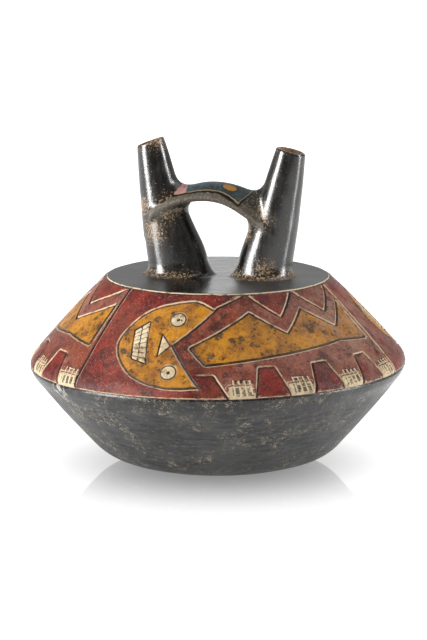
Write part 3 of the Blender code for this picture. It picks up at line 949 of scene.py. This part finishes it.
# %% Haze, stains and grain
parts = {"Haze": 0.0, "Blotch": 0.0, "Speck": 0.0, "Grain": 0.0}
net, enter, leave = new_group("aged_surface", {"Haze Amount": 1.0}, parts)
aged = net.tree
haze = net.step(net.noise(0.028, 3.0, 0.6), 0.42, 0.66)
edge = net.times(net.minus(net.noise(0.8, 2.0), 0.5), 0.5)
coarse = net.plus(net.cells(0.13), edge)
somewhere = net.step(net.noise(0.05), 0.4, 0.54)
fine = net.plus(net.cells(0.33), net.times(edge, 0.8))
elsewhere = net.step(net.noise(0.09), 0.4, 0.56)
grain = net.times(net.noise(1.6, 3.0, 0.65), net.noise(0.3, 2.0))
net.feed(leave["Haze"], net.times(haze, enter["Haze Amount"]))
net.feed(leave["Blotch"], net.times(net.step(coarse, 0.38, 0.2), somewhere))
net.feed(leave["Speck"], net.times(net.step(fine, 0.42, 0.16), elsewhere))
net.feed(leave["Grain"], grain)
print("aged surface", len(aged.nodes), "nodes")

# %% [markdown]
# ## Painted clay
# The painted colours are slips: thin coats of coloured clay, rubbed smooth and then fired.
# They differ in colour and wear alone, so one group holds the pattern and four materials feed
# it their own tones. The largest stains have places of their own, because they are landmarks.

# %% The pattern of the paint
BIG_STAINS = ((8.6, 28.0, 3.6), (7.0, 25.0, 3.0), (30.0, 24.0, 2.6), (-2.5, 31.0, 2.2))
RUBBED_SHEEN = (68.0, 32.0)
tones = {"Light": GREY, "Deep": GREY, "Hazy": GREY, "Spot": GREY}
amounts = {"Haze Amount": 0.5, "Spot Amount": 0.5}
net, enter, leave = new_group("painted_clay", tones | amounts, {"Color": GREY})
paint = net.tree
spot_amount = enter["Spot Amount"]
aging = net.group(aged, "Haze", Haze_Amount=enter["Haze Amount"])
broad = net.step(net.noise(0.09, 4.0, 0.6), 0.35, 0.65)
tone = net.mix(aging, net.mix(broad, enter["Light"], enter["Deep"]), enter["Hazy"])
# Rubbed paint and a painted sheen: the paint turns pale pink round a spot right of the front.
rubbed_sheen = net.near(on_body(*RUBBED_SHEEN).ravel(), 52, 10)
rubbed_sheen = net.times(rubbed_sheen, net.step(net.noise(0.12, 5.0, 0.7), 0.36, 0.6))
tone = net.mix(net.times(rubbed_sheen, 0.85), tone, srgb(156, 120, 98))
stains = net.larger(aging.node.outputs["Blotch"], aging.node.outputs["Speck"])
ragged = net.step(net.noise(0.5, 3.0), 0.36, 0.5)
for face, v, radius in BIG_STAINS:
    stain = net.near(on_body(face, v).ravel(), radius * 1.25, radius * 0.7)
    stains = net.larger(stains, net.times(stain, ragged))
tone = net.mix(net.times(stains, spot_amount), tone, enter["Spot"])
mottle = net.step(net.noise(0.42, 4.0, 0.7, 0.3), 0.48, 0.62)
mottle = net.times(mottle, net.times(spot_amount, 0.45))
tone = net.mix(mottle, tone, enter["Spot"])
print("paint so far", len(paint.nodes), "nodes")

# %% Dust beside the lines, chalk and dirt over the paint
dusty = net.step(net.noise(0.04, 3.0, 0.6), 0.42, 0.62)
beside = net.step(net.attribute("line_away"), 4.5, 1.2)
dusty = net.larger(dusty, net.times(beside, 0.7))
dust = net.step(net.noise(1.1, 4.0, 0.75), 0.56, 0.7)
dust = net.times(dust, net.between(dusty, 0.3, 0.75))
tone = net.mix(dust, tone, srgb(204, 168, 146))
chalk = net.step(net.noise(0.2, 6.0, 0.8), 0.5, 0.66)
chalk = net.times(chalk, net.times(enter["Haze Amount"], 0.9))
tone = net.mix(chalk, tone, enter["Hazy"])
dirt = net.step(net.noise(0.8, 4.0, 0.75), 0.45, 0.3)
net.feed(leave["Color"], net.mix(net.times(dirt, 0.45), tone, srgb(48, 22, 16)))
print("paint", len(paint.nodes), "nodes")

# %% The four paints
def painted(name, haze_amount, spot_amount, roughness, *colours):
    """A painted clay from its light, deep, hazy and spot colours."""
    made, net, shader = material(name)
    fed = {title: srgb(*colour) for title, colour in zip(("Light", "Deep", "Hazy", "Spot"), colours)}
    tone = net.group(paint, "Color", Haze_Amount=haze_amount, Spot_Amount=spot_amount, **fed)
    grain = net.group(aged, "Grain")
    rough = net.plus(roughness, net.times(grain, 0.3))
    looks = {"Base_Color": net.group(incised, "Color", Color=tone), "Roughness": rough}
    wire(net, shader, Normal=net.bump(grain, 0.9, 0.8), Specular_IOR_Level=0.3, **looks)
    return made


ground = painted("crimson", 0.5, 0.6, 0.28, (122, 22, 12), (74, 11, 7), (146, 70, 48), (38, 11, 10))
beast = painted("brown_red", 0.55, 0.75, 0.28, (128, 58, 34), (86, 30, 20), (164, 108, 92), (46, 22, 18))
ochre = painted("ochre", 0.35, 0.9, 0.28, (196, 130, 8), (138, 82, 6), (182, 130, 62), (62, 46, 26))
pale = painted("cream", 0.3, 0.7, 0.5, (222, 204, 168), (196, 174, 132), (212, 198, 176), (104, 84, 62))
print("paints", [made.name for made in (ground, beast, ochre, pale)])

# %% [markdown]
# ## Burnished black clay
# The spouts and the disc were rubbed with a pebble before a smoky firing. The rubbing left
# streaks: along the spouts, and across the disc. Tan clay shows where hands wore the black
# off, at the mouths, round the feet and where the strap joins. Each such place is a ball that
# fades outwards, so the wear can be moved without painting a mask.

# %% Where the black is worn
black, net, shader = material("burnished_black")
x, y, z = net.axes(net.place())
wear = net.step(z, 180, 192)
for foot in BASE_X:
    way = net.node("ShaderNodeCombineXYZ", X=net.minus(x, foot), Y=y)
    gap = net.node("ShaderNodeVectorMath", {"operation": "LENGTH"}, out=1, i0=way)
    round_foot = net.step(net.math("ABSOLUTE", net.minus(gap, 17.5)), 4.5, 0.5)
    round_foot = net.times(round_foot, net.step(z, 120, 112))
    wear = net.larger(wear, net.times(round_foot, 0.8))
JOINTS = [((-26, -11, 152), 15), ((25, -10, 148), 15), ((19, -4, 136), 9), ((-42, -6, 152), 11)]
JOINTS += [((-36, -11, 138), 15), ((30, -14, 118), 11), ((-27, 11, 152), 15), ((26, 10, 148), 15)]
for joint, reach in JOINTS:
    wear = net.larger(wear, net.times(net.near(joint, reach, 2), 0.9))
print("worn places", len(BASE_X) + len(JOINTS) + 1)

# %% Streaks and polish
flat_marks = net.noise(1.0, 4.0, 0.65, place=net.place((0.06, 0.25, 0.25)))
tall_marks = net.noise(1.0, 4.0, 0.6, place=net.place((0.3, 0.3, 0.06)))
marks = net.between(net.step(z, 112.5, 118), flat_marks, tall_marks)
spots = net.noise(0.9, 3.0, 0.7)
tan = net.step(net.plus(spots, net.times(wear, 0.2)), 0.64, 0.76)
tone = net.mix(net.step(marks, 0.38, 0.72), srgb(15, 14, 13), srgb(46, 43, 39))
tone = net.mix(net.times(wear, 0.45), tone, srgb(74, 62, 48))
tone = net.mix(net.times(tan, 0.8), tone, srgb(176, 146, 112))
colour = net.group(incised, "Color", Color=tone)
polish = net.between(net.step(marks, 0.3, 0.7), 0.15, 0.27)
from_middle = net.math("ABSOLUTE", net.plus(x, 2))
dull_disc = net.times(net.step(z, 113, 111.6), net.step(from_middle, 12, 28))
rough = net.plus(net.between(dull_disc, polish, 0.5), net.times(tan, 0.3))
rough = net.plus(rough, net.times(colour.node.outputs["Cream"], 0.3))
height = net.plus(net.times(marks, 0.6), net.times(spots, 0.4))
looks = {"Base_Color": colour, "Roughness": rough, "Normal": net.bump(height, 0.3, 0.5)}
wire(net, shader, Specular_IOR_Level=1.0, **looks)
print("burnished black", len(net.tree.nodes), "nodes")

# %% [markdown]
# ## The belly
# Below the keel the black is matt, with wiping marks round the body, crumbs of earth and
# short scratches. Noise stretched along the turn gives the marks, and the thin places where
# stretched noise passes its middle value give scratches that wander as real ones do.

# %% The belly's tones
belly, net, shader = material("matte_black")
x, y, z = net.axes(net.place())
turn = net.times(net.math("ARCTAN2", y, x), 4.0)
round_place = net.node("ShaderNodeCombineXYZ", X=turn, Y=net.times(z, 0.35))
strokes = net.noise(1.6, 5.0, 0.65, 0.6, place=round_place)
cloud = net.noise(0.035, 4.0, 0.6)
tone = net.mix(net.step(strokes, 0.34, 0.66), srgb(20, 21, 22), srgb(62, 63, 63))
dark_patch = net.step(net.noise(0.02, 4.0, 0.6), 0.5, 0.35)
tone = net.mix(net.times(dark_patch, 0.6), tone, srgb(26, 27, 27))
tone = net.mix(net.times(net.step(z, 46, 54), 0.75), tone, srgb(20, 20, 20))
tone = net.mix(net.times(net.step(cloud, 0.42, 0.7), 0.5), tone, srgb(84, 84, 81))
print("belly tones", len(net.tree.nodes), "nodes")

# %% The belly's scratches, crumbs and a painted highlight under the keel
KEEL_GLINT = (-47.0, 76.0)
patches = net.step(net.noise(0.06, 4.0, 0.65), 0.46, 0.62)
scratches = 0.0
for stretch in ((0.07, 0.2, 0.3), (0.3, 0.12, 0.08), (0.14, 0.3, 0.12)):
    wavy = net.noise(1.0, 5.0, 0.7, 0.4, place=net.place(stretch))
    thin = net.step(net.math("ABSOLUTE", net.minus(wavy, 0.5)), 0.009, 0.002)
    scratches = net.larger(scratches, thin)
broken = net.step(net.noise(0.4, 2.0), 0.48, 0.56)
scratches = net.times(net.times(scratches, patches), broken)
crumbs = net.step(net.noise(1.1, 4.0, 0.75), 0.6, 0.7)
worn = net.larger(scratches, net.times(crumbs, patches))
tone = net.mix(net.times(worn, 0.9), tone, srgb(196, 178, 150))
speck = net.group(aged, "Speck")
tone = net.mix(net.times(speck, 0.25), tone, srgb(120, 112, 100))
# Painted highlight: pale upright streaks where the keel's lower round catches the light, on the left.
keel_glint = net.step(net.noise(1.0, 2.0, place=net.place((0.45, 0.45, 0.06))), 0.52, 0.62)
keel_glint = net.times(keel_glint, net.near(on_body(*KEEL_GLINT).ravel(), 11, 3))
tone = net.mix(net.times(keel_glint, 0.8), tone, srgb(190, 184, 174))
height = net.plus(strokes, net.times(speck.node.outputs["Grain"], 0.8))
rough = net.between(net.step(z, 46, 55), 0.42, 0.2)
looks = {"Base_Color": net.group(incised, "Color", Color=tone), "Roughness": rough}
wire(net, shader, Normal=net.bump(height, 0.4, 0.6), Specular_IOR_Level=0.6, **looks)
print("belly", len(net.tree.nodes), "nodes")

# %% [markdown]
# ## The strap
# The strap's rolled rims are bare, gritty clay. The panel between them is painted teal with
# a pink ridge and two ochre ovals. Its edges are simple formulas of x and y, because a flat
# pattern seen from above is easier to place that way than along the arch.

# %% Gritty clay of the rolled rims
net, enter, leave = new_group("gritty_edge", {"Grit Scale": 0.9}, {"Color": GREY, "Height": 0.0})
gritty = net.tree
grit = net.noise(enter["Grit Scale"], 4.0, 0.75)
edge_on = net.step(net.math("ABSOLUTE", net.axes(net.place())[1]), 8.0, 11.5)
tone = net.mix(edge_on, srgb(42, 39, 36), srgb(84, 77, 67))
colour = net.mix(net.step(grit, 0.48, 0.76), tone, srgb(160, 146, 124))
net.feed(leave["Color"], net.mix(net.step(grit, 0.42, 0.3), colour, srgb(38, 34, 31)))
net.feed(leave["Height"], grit)
roll, net, shader = material("strap_roll")
colour = net.group(gritty, "Color", Grit_Scale=0.9)
normal = net.bump(colour.node.outputs["Height"], 0.5, 0.8)
wire(net, shader, Base_Color=colour, Roughness=0.42, Normal=normal, Specular_IOR_Level=0.5)
print("strap roll", len(gritty.nodes), "nodes in its group")

# %% The panel's outline and colours
PANEL_LEFT, PANEL_RIGHT, PANEL_HALF, RIGHT_CURVE = 22.0, 21.5, 9.3, 7.5
panel, net, shader = material("strap_panel")
x, y = net.axes(net.place())[:2]
across = net.math("ABSOLUTE", y)
curve = net.math("POWER", net.math("DIVIDE", across, 10.6), 1.5)
right_end = net.minus(PANEL_RIGHT, net.times(curve, RIGHT_CURVE))
right_end = net.minus(right_end, x)
left_end = net.plus(net.plus(x, PANEL_LEFT), net.times(across, 0.26))
half = net.plus(PANEL_HALF, net.times(net.step(x, 0, 20), 2.2))
front = net.minus(half, across)
within = net.math("MINIMUM", net.math("MINIMUM", right_end, left_end), front)
wobble = net.times(net.minus(net.noise(0.4, 2.0), 0.5), 0.8)
within = net.plus(within, wobble)
teal = net.step(net.noise(0.3, 3.0), 0.35, 0.7)
teal = net.mix(teal, srgb(26, 44, 50), srgb(54, 74, 78))
ridge = net.plus(net.math("ABSOLUTE", net.minus(y, 3.0)), wobble)
pink = net.larger(net.step(ridge, 1.9, 1.4), net.step(x, -17.0, -18.0))
pink = net.times(pink, net.step(net.noise(0.25, 2.0), 0.3, 0.4))
tone = net.mix(pink, teal, srgb(176, 126, 122))
chalk = net.step(net.noise(0.8, 4.0, 0.75), 0.5, 0.68)
tone = net.mix(net.times(chalk, 0.35), tone, srgb(128, 112, 104))
print("panel so far", len(net.tree.nodes), "nodes")

# %% The panel's ovals and border
OVAL_X, OVAL_Y, OVAL_LONG, OVAL_SHORT = 7.7, 5.0, 4.4, 2.3
dx = net.math("DIVIDE", net.minus(x, OVAL_X), OVAL_LONG)
dy = net.math("DIVIDE", net.minus(across, OVAL_Y), OVAL_SHORT)
oval = net.plus(net.times(dx, dx), net.times(dy, dy))
oval = net.plus(oval, net.times(wobble, 0.4))
tone = net.mix(net.step(oval, 1.35, 1.2), tone, srgb(20, 22, 22))
yolk = net.times(net.step(oval, 0.95, 0.8), net.between(chalk, 1.0, 0.6))
tone = net.mix(yolk, tone, srgb(172, 118, 30))
tone = net.mix(net.times(net.step(within, 0.6, 0.4), 0.8), tone, srgb(160, 134, 100))
# Painted shade: a dark line for the incised groove round the panel, which the mesh doesn't cut.
tone = net.mix(net.step(within, 0.1, -0.1), tone, srgb(16, 15, 15))
rim_clay = net.group(gritty, "Color", Grit_Scale=0.9)
tone = net.mix(net.step(within, -0.9, -1.2), tone, rim_clay)
normal = net.bump(net.group(aged, "Grain"), 0.4, 0.5)
wire(net, shader, Base_Color=tone, Roughness=0.42, Normal=normal, Specular_IOR_Level=0.4)
print("panel", len(net.tree.nodes), "nodes")

# %% Bare clay inside the mouths
inner, net, shader = material("bare_clay")
tone = net.step(net.noise(0.5, 3.0), 0.4, 0.65)
tone = net.mix(tone, srgb(150, 110, 76), srgb(92, 66, 48))
wire(net, shader, Base_Color=tone, Roughness=0.85)
print("bare clay", len(net.tree.nodes), "nodes")

# %% [markdown]
# ## The finished piece
# Every face already holds the number of its zone, so the materials go on in that order.
# The piece then rides on the vessel's body in the shared frame and replaces its plain node.

# %% Hand the vessel over
mesh.materials.clear()
for made in (black, ground, beast, ochre, pale, belly, panel, inner, roll):
    mesh.materials.append(made)
mesh.polygons.foreach_set("material_index", chosen.tolist())
mesh.shade_smooth()
vessel = bpy.data.objects.new("vessel_piece", mesh)
bpy.context.scene.collection.objects.link(vessel)
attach(vessel, "root")
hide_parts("vessel")
triangles = sum(len(p.vertices) - 2 for p in mesh.polygons)
print("triangles", triangles)

# %% [markdown]
# ## The room
# The vessel stands on a pale floor that mirrors it faintly, in soft light from the left, as
# in a studio. The floor glows by itself, because a lit one would turn grey far from the
# lights. Its glow is weaker round the foot, where a real vessel keeps the light off.

# %% Floor
SHADE_START, SHADE_STOP, SHADE_GLOW = 35, 140, 0.26


def flat_piece(name, corners):
    bm = bmesh.new()
    bm.faces.new([bm.verts.new(corner) for corner in corners])
    return linked(name, bm)


floor = flat_piece("floor", [(-14, -3, 0), (14, -3, 0), (14, 14, 0), (-14, 14, 0)])
made, net, shader = material("pale_floor")
reach = net.node("ShaderNodeVectorMath", {"operation": "LENGTH"}, out=1, i0=net.place())
glow = net.between(net.step(reach, SHADE_START, SHADE_STOP), SHADE_GLOW, 1.0)
looks = {"Base_Color": (0.02, 0.02, 0.02, 1), "Roughness": 0.04}
wire(net, shader, Emission_Color=glow, Emission_Strength=1.0, **looks)
floor.data.materials.append(made)
floor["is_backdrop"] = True
print("floor", [round(v, 1) for v in floor.dimensions])


# %% Lights
def softbox(name, place, size, power, aim):
    """A soft rectangle of light that points at a spot."""
    light = bpy.data.lights.new(name, "AREA")
    light.shape = "RECTANGLE"
    light.size, light.size_y = size
    light.energy = power
    lamp = bpy.data.objects.new(name, light)
    lamp.location = place
    lamp.rotation_euler = (Vector(aim) - Vector(place)).to_track_quat("-Z", "Y").to_euler()
    bpy.context.scene.collection.objects.link(lamp)
    print(name, power, "W")


softbox("left_box", (-0.94, -0.56, 0.42), (0.4, 0.8), 20.0, (0, 0, 0.12))
softbox("right_box", (1.05, 0.0, 0.4), (0.16, 0.8), 8.0, (0, 0, 0.12))
softbox("top_box", (0.45, 0.15, 0.95), (0.8, 0.8), 2.0, (0, 0, 0.1))

# %% [markdown]
# ## The surroundings
# They are dark in front of the vessel and brighter behind it, with one bright strip straight
# behind. Black clay shows its form by what it mirrors, and this gives the spouts their dark
# middles and the disc its pale path.

# %% Surroundings
FRONT_GLOW, SIDE_GLOW, STRIP_GLOW, ABOVE_SHARE = 0.12, 0.35, 1.05, 0.45
world = bpy.data.worlds.new("studio")
world.use_nodes = True
net = Net(world.node_tree)
x, y, z = net.axes(net.node("ShaderNodeTexCoord"))
rise = net.between(net.step(z, 0.35, 0.8), 1.0, ABOVE_SHARE)
glow = net.times(net.between(net.step(y, -0.6, 0.1), FRONT_GLOW, SIDE_GLOW), rise)
across = net.plus(net.times(x, 0.988), net.times(y, 0.156))
strip = net.step(net.math("ABSOLUTE", across), 0.32, 0.14)
strip = net.times(strip, net.step(y, 0.1, 0.4))
background = world.node_tree.nodes["Background"]
net.feed(background.inputs["Color"], (1, 1, 1, 1))
net.feed(background.inputs["Strength"], net.between(strip, glow, STRIP_GLOW))
bpy.context.scene.world = world
bpy.context.scene.view_settings.view_transform = "Standard"
print("surroundings", len(net.tree.nodes), "nodes")

# %% [markdown]
# ## The camera
# The camera stands where the photograph's stood: a little to the right of the front, and
# raised so that the disc shows. The shift puts the vessel where the picture has it.

# %% Camera
HEIGHT = 640
TURN_DEG, REACH, EYE_HEIGHT, AIM_HEIGHT = 9, 1.65, 0.397, 0.095
lens = bpy.data.cameras.new("camera")
lens.sensor_width = 36
lens.lens = 160.8
lens.shift_x, lens.shift_y = -4.5 / HEIGHT, -18.2 / HEIGHT
lens.clip_end = 60
camera = bpy.data.objects.new("camera", lens)
turn = math.radians(TURN_DEG)
camera.location = (REACH * math.sin(turn), -REACH * math.cos(turn), EYE_HEIGHT)
aim = Vector((0, 0, AIM_HEIGHT)) - camera.location
camera.rotation_euler = aim.to_track_quat("-Z", "Y").to_euler()
bpy.context.scene.collection.objects.link(camera)
bpy.context.scene.camera = camera
print("camera", [round(v, 3) for v in camera.location])

# %% Sizes and finish
low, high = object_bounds()
print("visual", [round(v * 1000, 1) for v in (*low, *high)])
